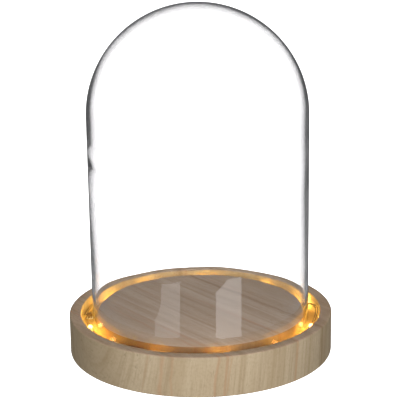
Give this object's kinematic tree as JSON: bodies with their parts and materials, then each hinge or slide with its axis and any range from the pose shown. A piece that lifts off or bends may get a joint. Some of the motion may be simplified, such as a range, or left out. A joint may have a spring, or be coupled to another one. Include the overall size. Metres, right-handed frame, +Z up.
{
  "type": "bell jar dome",
  "caption": "Clear glass bell jar on a round turned wood base, with a ring of small warm lights in the groove round the glass and a battery tray underneath.",
  "frame": {"origin": "centre of the plane the four feet rest on, on the axis of the dome", "axes": "+Z up along the axis of the dome; the front is -Y; +X to the right"},
  "size_m": [0.15, 0.15, 0.2],
  "materials": {
    "clear_glass": "clear blown glass with polished surfaces",
    "turned_wood": "bare turned softwood, lightly washed, satin",
    "foot_felt": "dense dark felt",
    "enamelled_wire": "copper wire in clear enamel",
    "led_chip": "small ceramic light chip, yellow phosphor, lit",
    "led_resin": "clear epoxy drop, glossy, lit from inside",
    "hot_glue": "cloudy hot-melt glue",
    "black_plastic": "moulded black plastic, fine spark texture",
    "screw_steel": "zinc-plated steel",
    "cell_jacket": "plain shrink jacket with bright metal ends",
    "contact_steel": "nickel-plated spring steel",
    "red_lead": "red insulated lead",
    "black_lead": "black insulated lead",
    "resistor_body": "lacquered resistor body with colour bands",
    "switch_steel": "tinned steel can",
    "switch_board": "brown laminate",
    "switch_knob": "white moulded plastic"
  },
  "bodies": {
    "base": {"wood_base": "turned_wood", "foot_pad_1": "foot_felt", "foot_pad_2": "foot_felt", "foot_pad_3": "foot_felt", "foot_pad_4": "foot_felt", "string_wire_positive": "enamelled_wire", "string_wire_negative": "enamelled_wire", "led_chip_1": "led_chip", "led_chip_2": "led_chip", "led_chip_3": "led_chip", "led_chip_4": "led_chip", "led_chip_5": "led_chip", "led_chip_6": "led_chip", "led_chip_7": "led_chip", "led_chip_8": "led_chip", "led_chip_9": "led_chip", "led_chip_10": "led_chip", "led_chip_11": "led_chip", "led_bead_1": "led_resin", "led_bead_2": "led_resin", "led_bead_3": "led_resin", "led_bead_4": "led_resin", "led_bead_5": "led_resin", "led_bead_6": "led_resin", "led_bead_7": "led_resin", "led_bead_8": "led_resin", "led_bead_9": "led_resin", "led_bead_10": "led_resin", "led_bead_11": "led_resin", "wire_hole_plug": "hot_glue", "channel_glue": "hot_glue", "battery_tray": "black_plastic", "tray_bezel": "black_plastic", "bezel_screws": "screw_steel", "cell_1": "cell_jacket", "cell_2": "cell_jacket", "cell_3": "cell_jacket", "contact_spring_1": "contact_steel", "contact_spring_2": "contact_steel", "contact_spring_3": "contact_steel", "positive_plate": "contact_steel", "negative_plate": "contact_steel", "left_bridge_plate": "contact_steel", "right_bridge_plate": "contact_steel", "lead_red": "red_lead", "lead_black": "black_lead", "series_resistor": "resistor_body", "switch_shell": "switch_steel", "switch_board": "switch_board", "switch_terminals": "contact_steel"},
    "dome": {"glass_dome": "clear_glass"},
    "door": {"battery_door": "black_plastic"},
    "knob": {"switch_knob": "switch_knob"}
  },
  "joints": [
    {"name": "dome_lift", "type": "slide", "parent": "base", "child": "dome", "axis": [0, 0, 1], "range_m": [0, 0.19]},
    {"name": "door_hinge", "type": "hinge", "parent": "base", "child": "door", "pos_m": [0.0341, 0, 0.0029], "axis": [0, -1, 0], "range_deg": [0, 95]},
    {"name": "switch_slide", "type": "slide", "parent": "base", "child": "knob", "axis": [0, 1, 0], "range_m": [0, 0.002]}
  ]
}
